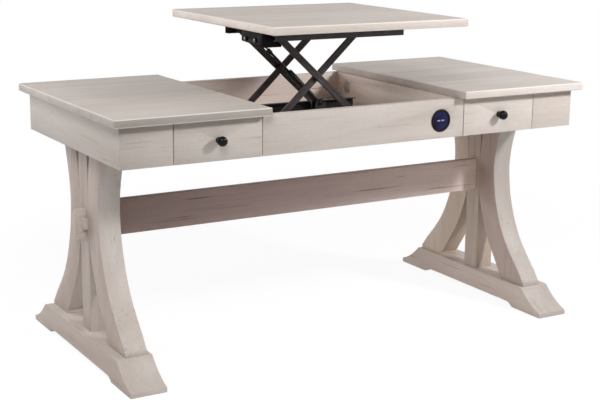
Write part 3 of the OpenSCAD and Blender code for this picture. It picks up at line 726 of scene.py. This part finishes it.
@dataclass
class WoodWork:
    """Everything in washed maple: tops, apron box, trestles, stretcher and drawers.

    Attributes:
        strip: Width of the strips glued into the tops.
        ease: Width of the eased edges that a sander leaves on the boards that show.
        inner_ease: Width of the eased edges inside the box.
        sharper_than: Angle in degrees from which an edge is eased.
    """

    strip: float = 112 * MM
    ease: float = 1.2 * MM
    inner_ease: float = 0.8 * MM
    sharper_than: float = 40.0

    def tops(self) -> list[Board]:
        """Lists the two fixed tops and the rising panel, glued up of strips."""
        return [
            # Each top's front and end values paint light and shade on its faces, and its edge value paints a
            # highlight on its eased edges
            Board("left_top", WashedMaple(
                "maple_left_top", Axis.X, 3, pale="#cfc6bf", warm="#c3b7ae", strip=self.strip,
                figure=0.7, painted_front_shading=0.72, painted_end_shading=1.12, painted_edge_highlight=0.7)),
            Board("right_top", WashedMaple(
                "maple_right_top", Axis.X, 8, strip=self.strip,
                painted_front_shading=1.32, painted_end_shading=1.15, painted_edge_highlight=0.7)),
            Board("lift_panel", WashedMaple(
                "maple_lift_panel", Axis.X, 14, pale="#cac0b9", warm="#bfb3aa", strip=self.strip,
                painted_front_shading=1.33, painted_end_shading=1.7, painted_edge_highlight=0.7), Body.LIFT_TOP),
        ]

    @staticmethod
    def apron_box() -> list[Board]:
        """Lists the aprons, the blocks beside the drawers and the drawers' fronts."""
        return [
            # The front and end values paint light and shade on these faces, brighter to the right where the
            # key lamp is nearer
            Board("front_apron", WashedMaple("maple_front_apron", Axis.X, 21, figure=0.35)),
            # The back apron's paler colour and front value paint the light that falls on the back wall
            Board("back_apron", WashedMaple(
                "maple_back_apron", Axis.X, 22, pale="#e6dcd6", warm="#d8cac2", streak="#8a6c64",
                figure=0.7, painted_front_shading=1.2)),
            Board("left_end_apron", WashedMaple(
                "maple_left_end", Axis.Y, 23, figure=0.4, painted_end_shading=1.17)),
            Board("right_end_apron", WashedMaple("maple_right_end", Axis.Y, 24, figure=0.4)),
            Board("left_front_block", WashedMaple("maple_left_block", Axis.X, 25, painted_front_shading=0.88)),
            Board("right_front_block", WashedMaple("maple_right_block", Axis.X, 26, painted_front_shading=1.13)),
            Board("left_drawer_front", WashedMaple(
                "maple_left_drawer", Axis.X, 27, painted_front_shading=0.95), Body.LEFT_DRAWER),
            Board("right_drawer_front", WashedMaple(
                "maple_right_drawer", Axis.X, 28, painted_front_shading=1.14), Body.RIGHT_DRAWER),
        ]

    @staticmethod
    def trestles() -> list[Board]:
        """Lists the feet, the legs, the posts, the stretcher and its pegs."""
        # Painted shade: the stretcher turns darker and browner towards its left end, in the desk's shade,
        # while its left tenon keeps the full brightness
        stretcher_painted_shade = (PaintedLightStop(0.03, 1.0), PaintedLightStop(0.06, 0.48, 0.80, 0.79),
                    PaintedLightStop(0.54, 0.78, 0.86, 0.89), PaintedLightStop(0.93, 1.32, 0.93, 0.93))
        return [
            # The front and end values paint light and shade on these faces, and the end tint paints the warm
            # tint of their shade
            Board("left_foot", WashedMaple("maple_left_foot", Axis.Y, 31, painted_end_shade_tint=0.07)),
            Board("right_foot", WashedMaple(
                "maple_right_foot", Axis.Y, 32, painted_front_shading=0.92, painted_end_shading=1.08, painted_end_shade_tint=0.07)),
            Board("left_front_leg", WashedMaple(
                "maple_left_front_leg", Axis.Z, 33, figure=0.6, painted_end_shade_tint=0.08)),
            Board("left_back_leg", WashedMaple("maple_left_back_leg", Axis.Z, 34, painted_end_shade_tint=0.08)),
            Board("right_front_leg", WashedMaple(
                "maple_right_front_leg", Axis.Z, 35, painted_front_shading=0.86, painted_end_shading=0.86, painted_end_shade_tint=0.12)),
            # The warmer colour of the right back leg and post is painted for the warm shade on the right
            # trestle
            Board("right_back_leg", WashedMaple(
                "maple_right_back_leg", Axis.Z, 36, pale="#d3c2b3", warm="#c6b3a4", painted_end_shading=1.2)),
            Board("left_post", WashedMaple(
                "maple_left_post", Axis.Z, 37, painted_end_shading=0.97, painted_end_shade_tint=0.07)),
            Board("right_post", WashedMaple(
                "maple_right_post", Axis.Z, 38, pale="#d3c2b3", warm="#c6b3a4", painted_end_shading=0.9)),
            Board("stretcher", WashedMaple(
                "maple_stretcher", Axis.X, 41, figure=1.0, painted_front_shading=1.19, painted_end_shading=1.15,
                painted_end_shade_tint=0.06, along=stretcher_painted_shade)),
            Board("tusk_pegs", WashedMaple("maple_pegs", Axis.Y, 42, pale="#e4ddd7", warm="#dad1ca")),
        ]

    @staticmethod
    def inside() -> list[Board]:
        """Lists the boards inside the apron box, browner under a thinner wash."""
        plan = [
            # The last value paints light on the faces towards left and right; the right partition's is
            # brighter for the light that reaches it
            ("left_inner_partition", Body.DESK, Axis.Y, 1.0),
            ("right_inner_partition", Body.DESK, Axis.Y, 1.24),
            ("outer_partitions", Body.DESK, Axis.Y, 1.0),
            ("compartment_floor", Body.DESK, Axis.X, 1.0),
            ("floor_cleats", Body.DESK, Axis.Y, 1.0),
            ("drawer_runners", Body.DESK, Axis.Y, 1.0),
            ("top_cleats", Body.DESK, Axis.Y, 1.0),
            ("left_drawer_frame", Body.LEFT_DRAWER, Axis.Y, 1.0),
            ("right_drawer_frame", Body.RIGHT_DRAWER, Axis.Y, 1.0),
            ("left_drawer_bottom", Body.LEFT_DRAWER, Axis.X, 1.0),
            ("right_drawer_bottom", Body.RIGHT_DRAWER, Axis.X, 1.0),
        ]
        return [
            Board(node, WashedMaple(
                "maple_inside_" + node, grain, 51 + number, pale="#e0d2c7", warm="#d3c2b6",
                streak="#a8948a", figure=0.6, rough=0.6, painted_end_shading=painted_side_shading), body)
            for number, (node, body, grain, painted_side_shading) in enumerate(plan)
        ]

    def build(self) -> None:
        """Builds every board."""
        outside = self.tops() + self.apron_box() + self.trestles()
        for boards, slot, ease in ((outside, "wood", self.ease),
                                   (self.inside(), "inside_wood", self.inner_ease)):
            for board in boards:
                finish = board.maple.build()
                piece = copy_of_node(board.node, board.node + "_board")
                round_edges(piece, ease, sharper_than=self.sharper_than)
                hand_over(piece, finish, board.body, [board.node])


@dataclass
class LiftWork:
    """The scissor lift and its gas strut, in black powder coat with plated pins.

    Attributes:
        edge: Rounding of the cut steel edges.
        smooth_under: Angle in degrees up to which an edge is shaded smooth.
    """

    edge: float = 0.5 * MM
    smooth_under: float = 40.0

    def build(self) -> None:
        """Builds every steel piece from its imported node."""
        # Charcoal coat of the arms and rails, with a soft grey sheen along their faces
        coat = PowderCoat("powder_coated_steel", "#423b3c", "#534a4b", 0.45, shine=0.25).build()
        # Matt black of the channel and strut seat, painted darker than the arms' coat for the panel's shade
        # over them
        panel_shade_coat = PowderCoat("shade_darkened_black_powder_coat", "#0f0c0a", "#181411", 0.5, shine=0.1).build()
        # Matt black of the base, a little lifted by rub marks
        base_coat = PowderCoat("base_black_powder_coat", "#161311", "#1f1b1a", 0.5, shine=0.2).build()
        # Small bright glints on screws and pins
        bright = PlatedSteel("zinc_plated_steel").build()
        # Dull grey dots of the bolts on the black channel
        dull = PlatedSteel("dull_zinc_plated_steel", "#6f6d6c", "#55524f", 0.42).build()
        # Dark metal that hardly stands out from the arms
        dark_pin = PlatedSteel("black_oxide_steel", "#3a383c", "#2a282b", 0.35).build()
        # Even, waxy black of the rollers
        nylon = PowderCoat("moulded_nylon", "#1d1c1e", "#29282b", 0.55, grit=0.8 * MM).build()
        # Smooth gloss with one narrow highlight along the cylinder
        painted = PowderCoat("strut_black_paint", "#191819", "#242325", 0.25, grit=2.0 * MM,
                             relief=0.05).build()
        plan = [
            (Body.DESK, "black_steel", base_coat,
             ["lift_base_rails", "lift_base_crossbars", "strut_bracket"]),
            (Body.DESK, "bright_steel", bright, ["lift_base_screws"]),
            (Body.INNER_ARMS, "black_steel", coat, ["inner_arms", "centre_pins"]),
            (Body.INNER_ARMS, "bright_steel", dark_pin, ["inner_pins"]),
            (Body.INNER_ARMS, "black_plastic", nylon, ["top_rollers"]),
            (Body.OUTER_ARMS, "black_steel", coat, ["outer_arms"]),
            (Body.OUTER_ARMS, "bright_steel", dark_pin, ["outer_pins"]),
            (Body.OUTER_ARMS, "black_plastic", nylon, ["base_rollers"]),
            (Body.LIFT_TOP, "black_steel", coat, ["top_rails", "top_plate"]),
            (Body.LIFT_TOP, "black_steel", panel_shade_coat, ["cross_channel", "strut_seat"]),
            (Body.LIFT_TOP, "bright_steel", dull, ["seat_bolts", "seat_nuts"]),
            (Body.LIFT_TOP, "bright_steel", bright, ["strut_top_pin", "panel_screws"]),
            (Body.STRUT_ROD, "bright_steel", dark_pin, ["strut_rod"]),
            (Body.STRUT_CYLINDER, "black_steel", painted, ["strut_cylinder"]),
            (Body.STRUT_CYLINDER, "bright_steel", dark_pin, ["strut_foot_pin"]),
        ]
        for body, slot, finish, nodes in plan:
            for node in nodes:
                piece = copy_of_node(node, node + "_dressed")
                round_edges(piece, self.edge)
                hand_over(piece, finish, body, [node], self.smooth_under)


@dataclass
class TurnedKnob:
    """Black turned knob: a ball on a flared neck, with its screw's head inside the drawer.

    Attributes:
        body: Drawer that carries it.
        node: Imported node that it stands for.
        profile: Radius and distance from the drawer's front, as parts of the ball's radius and of the reach.
        sides: Sides of the turning.
        head_radius: Radius of the screw's head.
        head_sides: Sides of the head.
        head_edge: Rounding of the head.
        drive: Length, width and depth of each slot of the cross in the head, the depth as the cutter's.
    """

    body: Body
    node: str
    profile: tuple[tuple[float, float], ...] = (
        (0.66, 0.00), (0.66, 0.03), (0.60, 0.07), (0.52, 0.14), (0.50, 0.20), (0.54, 0.25),
        (0.68, 0.30), (0.84, 0.38), (0.95, 0.48), (1.00, 0.60), (0.98, 0.72), (0.88, 0.84),
        (0.70, 0.93), (0.46, 0.98), (0.22, 0.997),
    )
    sides: int = 48
    head_radius: float = 4.5 * MM
    head_sides: int = 32
    head_edge: float = 0.4 * MM
    drive: tuple[float, float, float] = (5.5 * MM, 0.9 * MM, 1.4 * MM)

    def build(self, finish: bpy.types.Material, screw_finish: bpy.types.Material) -> None:
        """Turns the knob about its axis by extruding and scaling a ring.

        Args:
            finish: Material of the knob.
            screw_finish: Material of the screw's head.
        """
        low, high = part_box(self.node)
        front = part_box(self.body.value + "_front")[0].y
        radius = (high.x - low.x) / 2
        centre = Vector(((low.x + high.x) / 2, front, (low.z + high.z) / 2))
        reach = front - low.y
        deselect_all()
        bpy.ops.mesh.primitive_circle_add(vertices=self.sides, radius=radius * self.profile[0][0],
                                          fill_type="NGON", location=centre,
                                          rotation=(math.radians(90), 0, 0))
        piece = bpy.context.object
        piece.name = self.node + "_turned"
        apply_place(piece)
        bpy.ops.object.mode_set(mode="EDIT")
        bpy.ops.mesh.select_all(action="SELECT")
        for before, after in zip(self.profile, self.profile[1:]):
            step = -(after[1] - before[1]) * reach
            bpy.ops.mesh.extrude_region_move(TRANSFORM_OT_translate={"value": (0, step, 0)})
            ratio = after[0] / before[0]
            bpy.ops.transform.resize(
                value=(ratio, 1, ratio),
                center_override=(centre.x, centre.y - after[1] * reach, centre.z))
        bpy.ops.mesh.select_all(action="SELECT")
        bpy.ops.mesh.normals_make_consistent(inside=False)
        bpy.ops.object.mode_set(mode="OBJECT")
        hand_over(piece, finish, self.body, [self.node], smooth_under=50.0)
        self.build_screw_head(centre, high.y, screw_finish)

    def build_screw_head(self, centre: Vector, inner_y: float, finish: bpy.types.Material) -> None:
        """Makes the pan head that shows inside the drawer.

        Args:
            centre: Point of the knob's axis on the drawer front.
            inner_y: Place of the head's outer face, inside the drawer.
            finish: Material of the head.
        """
        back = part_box(self.body.value + "_front")[1].y
        depth = inner_y - back
        deselect_all()
        bpy.ops.mesh.primitive_cylinder_add(vertices=self.head_sides, radius=self.head_radius, depth=depth,
                                            location=(centre.x, back + depth / 2, centre.z),
                                            rotation=(math.radians(90), 0, 0))
        head = bpy.context.object
        head.name = self.node + "_screw_head"
        apply_place(head)
        length, width, deep = self.drive
        for across, up in ((length, width), (width, length)):
            cut_slot(head, Vector((centre.x, inner_y, centre.z)), Vector((across, deep, up)))
        round_edges(head, self.head_edge)
        hand_over(head, finish, self.body)


@dataclass
class Charger:
    """Round charger in the front apron: a slim dark bezel round a blue face with two ports.

    Attributes:
        bezel_edge: Rounding of the bezel.
        body_edge: Rounding of the body and the nut behind the apron.
        face_edge: Rounding of the face and its ports.
        tongue_edge: Rounding of the tongues.
        sides: Sides of the round face.
        port_gap: Distance between the middles of the ports.
        port_size: Width and height of a port.
        port_depth: Depth of the port's cutter, half of which is in the face.
        tongue_share: Width and height of the tongue, as parts of the port's.
        tongue_depth: Depth of the tongue.
        tongue_back: Distance of its middle behind the face's front.
    """

    bezel_edge: float = 0.5 * MM
    body_edge: float = 0.6 * MM
    face_edge: float = 0.3 * MM
    tongue_edge: float = 0.25 * MM
    sides: int = 64
    port_gap: float = 15 * MM
    port_size: tuple[float, float] = (12.0 * MM, 5.0 * MM)
    port_depth: float = 2.0 * MM
    tongue_share: tuple[float, float] = (0.92, 0.7)
    tongue_depth: float = 0.8 * MM
    tongue_back: float = 0.7 * MM

    def build(self) -> None:
        """Builds the bezel, the body, the nut, the face and the tongues of its ports."""
        # Satin black ring that frames the glossy face
        plastic = PowderCoat("charger_black_abs", "#100d0e", "#191516", 0.35, grit=0.9 * MM, relief=0.08,
                             shine=0.14).build()
        bezel = copy_of_node("charger_bezel", "charger_bezel_dressed")
        round_edges(bezel, self.bezel_edge, steps=3, sharper_than=30.0)
        hand_over(bezel, plastic, Body.DESK, ["charger_bezel"], smooth_under=45.0)
        for node in ("charger_body", "charger_nut"):
            piece = copy_of_node(node, node + "_dressed")
            round_edges(piece, self.body_edge)
            hand_over(piece, plastic, Body.DESK, [node])
        self.build_face()

    def build_face(self) -> None:
        """Makes the blue face with its two sunk ports and a pale tongue in each."""
        low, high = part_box("charger_face")
        middle = (low + high) / 2
        deselect_all()
        bpy.ops.mesh.primitive_cylinder_add(vertices=self.sides, radius=(high.x - low.x) / 2,
                                            depth=high.y - low.y, location=middle,
                                            rotation=(math.radians(90), 0, 0))
        face = bpy.context.object
        face.name = "charger_face_dressed"
        apply_place(face)
        width, height = self.port_size
        ports = [middle.x + side * self.port_gap / 2 for side in (-1, 1)]
        for port in ports:
            cut_slot(face, Vector((port, low.y, middle.z)), Vector((width, self.port_depth, height)))
        round_edges(face, self.face_edge)
        hand_over(face, GlossFace("acrylic_dark_blue").build(), Body.DESK, ["charger_face"])
        # Two pale specks of the ports in the dark face
        pale = PowderCoat("port_tongue_pale_abs", "#98a0c2", "#bcc3da", 0.3, grit=0.6 * MM,
                          relief=0.05).build()
        for number, port in enumerate(ports):
            deselect_all()
            bpy.ops.mesh.primitive_cube_add(
                size=1.0, location=Vector((port, low.y + self.tongue_back, middle.z)))
            tongue = bpy.context.object
            tongue.name = f"charger_tongue_{number}"
            tongue.scale = (width * self.tongue_share[0], self.tongue_depth, height * self.tongue_share[1])
            apply_place(tongue)
            round_edges(tongue, self.tongue_edge, steps=3, sharper_than=30.0)
            hand_over(tongue, pale, Body.DESK)


# Room, light and camera


def seen_by_camera(tree: Tree) -> Socket:
    """Value that is 1 for camera, glossy and transmission rays, and 0 for the light itself."""
    path = add_node(tree, "LightPath")
    first = add_node(tree, "Math", links={0: path.outputs["Is Camera Ray"],
                                          1: path.outputs["Is Glossy Ray"]}, operation="MAXIMUM")
    both = add_node(tree, "Math", links={0: first.outputs[0],
                                         1: path.outputs["Is Transmission Ray"]}, operation="MAXIMUM")
    return both.outputs[0]


@dataclass(frozen=True)
class Lamp:
    """Square soft lamp, turned to the desk's middle.

    Attributes:
        name: Name of the lamp.
        place: Place of its middle.
        size: Length of its sides.
        power: Power in watts.
    """

    name: str
    place: tuple[float, float, float]
    size: float
    power: float

    def build(self, target: Vector) -> None:
        """Hangs the lamp.

        Args:
            target: Point that it is turned to.
        """
        light = bpy.data.lights.new(self.name, "AREA")
        light.shape = "SQUARE"
        light.size = self.size
        light.energy = self.power
        lamp = bpy.data.objects.new(self.name, light)
        bpy.context.scene.collection.objects.link(lamp)
        lamp.location = self.place
        lamp.rotation_euler = (target - Vector(self.place)).to_track_quat("-Z", "Y").to_euler()
        lamp.visible_camera = False


@dataclass
class Studio:
    """Pale floor, soft lamps, white surroundings and the photograph's camera.

    Attributes:
        camera_place: Place of the camera.
        camera_yaw: Turn of the view from +Y towards +X, in radians.
        camera_pitch: Downward tilt of the view, in radians.
        camera_roll: Roll of the frame, in radians.
        focal_pixels: Focal length in pixels of the photograph.
        frame_pixels: Width of the photograph in pixels.
        sensor: Width of the sensor in millimetres.
        floor_size: Length of the floor's sides.
        shadow_reach: Distances from the desk's middle between which the floor's faint shadow fades out.
        near_share: Share of plain white in the floor at the desk; the rest is lit and takes the shadow.
        near_white: Strength of that white, which makes up for the dimmer lit part.
        room_light: Strength of the light from all around.
        target: Point that the lamps are turned to.
        lamps: Key lamp high at the right front, softer ones at the left, above and behind.
    """

    camera_place: tuple[float, float, float] = (-2.0517, -3.4651, 1.3358)
    camera_yaw: float = 0.5308
    camera_pitch: float = 0.2297
    camera_roll: float = 0.0101
    focal_pixels: float = 1281.4
    frame_pixels: float = 600.0
    sensor: float = 36.0
    floor_size: float = 60.0
    shadow_reach: tuple[float, float] = (1.3, 2.6)
    near_share: float = 0.82
    near_white: float = 1.10
    room_light: float = 0.03
    target: tuple[float, float, float] = (0.0, 0.0, 0.6)
    lamps: tuple[Lamp, ...] = (
        Lamp("key_lamp", (2.0, -2.4, 2.3), 0.45, 74.0),
        Lamp("left_front_lamp", (-1.9, -2.4, 2.7), 1.0, 33.0),
        Lamp("steep_left_lamp", (-1.2, -1.6, 2.9), 0.8, 9.0),
        Lamp("over_left_lamp", (-1.8, -0.3, 2.6), 1.0, 9.0),
        Lamp("over_right_lamp", (1.8, 0.3, 2.6), 1.0, 9.0),
        Lamp("left_back_lamp", (-2.3, 1.7, 2.7), 1.0, 14.0),
        Lamp("low_back_lamp", (-2.5, 3.0, 1.6), 1.0, 36.0),
    )

    def build(self) -> None:
        """Builds the floor, the world, the lamps and the camera."""
        self.build_floor()
        self.build_world()
        for lamp in self.lamps:
            lamp.build(Vector(self.target))
        self.build_camera()

    def build_floor(self) -> None:
        """Lays a wide white floor, of which a part round the desk is lit and keeps a faint shadow."""
        deselect_all()
        bpy.ops.mesh.primitive_plane_add(size=self.floor_size, location=(0, 0, 0))
        floor = bpy.context.object
        floor.name = "studio_floor"
        material, tree, shader = new_material("painted_studio_floor")
        place = object_place(tree)
        # Matt paint, faintly mottled
        grain = add_noise(tree, place, 40.0, 2.0)
        tint = add_ramp(tree, grain, [(0.3, grey(0.80)), (0.7, grey(0.82))])
        tree.links.new(tint, shader.inputs["Base Color"])
        shader.inputs["Roughness"].default_value = 0.9
        away = add_node(tree, "VectorMath", links={0: place}, operation="LENGTH").outputs["Value"]
        reach = {"From Min": self.shadow_reach[0], "From Max": self.shadow_reach[1], "To Max": 1.0}
        share = add_node(tree, "MapRange", {**reach, "To Min": self.near_share}, {"Value": away})
        strength = add_node(tree, "MapRange", {**reach, "To Min": self.near_white}, {"Value": away})
        white = add_node(tree, "Emission", {"Color": grey(1.0)}, {"Strength": strength.outputs["Result"]})
        seen_white = add_node(tree, "Math", links={0: seen_by_camera(tree), 1: share.outputs["Result"]},
                              operation="MULTIPLY")
        mixed = add_node(tree, "MixShader", links={0: seen_white.outputs[0], 1: shader.outputs[0],
                                                   2: white.outputs[0]})
        tree.links.new(mixed.outputs[0], tree.nodes["Material Output"].inputs["Surface"])
        floor.data.materials.append(material)

    def build_world(self) -> None:
        """Surrounds the desk with faint light that the camera sees as white."""
        world = bpy.data.worlds.new("studio_world")
        bpy.context.scene.world = world
        world.use_nodes = True
        tree = world.node_tree
        room = tree.nodes["Background"]
        room.inputs["Color"].default_value = grey(1.0)
        room.inputs["Strength"].default_value = self.room_light
        white = add_node(tree, "Background", {"Color": grey(1.0), "Strength": 1.0})
        mixed = add_node(tree, "MixShader", links={0: seen_by_camera(tree), 1: room.outputs[0],
                                                   2: white.outputs[0]})
        tree.links.new(mixed.outputs[0], tree.nodes["World Output"].inputs["Surface"])

    def build_camera(self) -> None:
        """Sets the camera as the photograph was taken."""
        yaw, pitch, roll = self.camera_yaw, self.camera_pitch, self.camera_roll
        forward = Vector((math.sin(yaw) * math.cos(pitch), math.cos(yaw) * math.cos(pitch), -math.sin(pitch)))
        level_right = Vector((math.cos(yaw), -math.sin(yaw), 0.0))
        level_up = level_right.cross(forward)
        right = math.cos(roll) * level_right + math.sin(roll) * level_up
        up = -math.sin(roll) * level_right + math.cos(roll) * level_up
        turned = Matrix((right, up, -forward)).transposed()
        lens = bpy.data.cameras.new("photo_camera")
        lens.sensor_fit = "HORIZONTAL"
        lens.sensor_width = self.sensor
        lens.lens = self.sensor * self.focal_pixels / self.frame_pixels
        camera = bpy.data.objects.new("photo_camera", lens)
        bpy.context.scene.collection.objects.link(camera)
        camera.matrix_world = Matrix.Translation(Vector(self.camera_place)) @ turned.to_4x4()
        bpy.context.scene.camera = camera


def main() -> None:
    """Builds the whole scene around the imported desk."""
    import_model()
    bpy.context.scene.view_settings.view_transform = "Standard"
    Studio().build()
    WoodWork().build()
    LiftWork().build()
    # Wet-looking black with a small window highlight on the ball
    lacquer = PowderCoat("knob_black_lacquer", "#060505", "#0d0a0b", 0.12, grit=1.5 * MM, relief=0.03,
                         shine=0.18).build()
    screw_steel = PlatedSteel("knob_screw_steel").build()
    for body, node in ((Body.LEFT_DRAWER, "left_drawer_knob"), (Body.RIGHT_DRAWER, "right_drawer_knob")):
        TurnedKnob(body, node).build(lacquer, screw_steel)
    Charger().build()


if __name__ == "__main__":
    logging.basicConfig(level=logging.INFO, format="%(name)s: %(message)s")
    main()
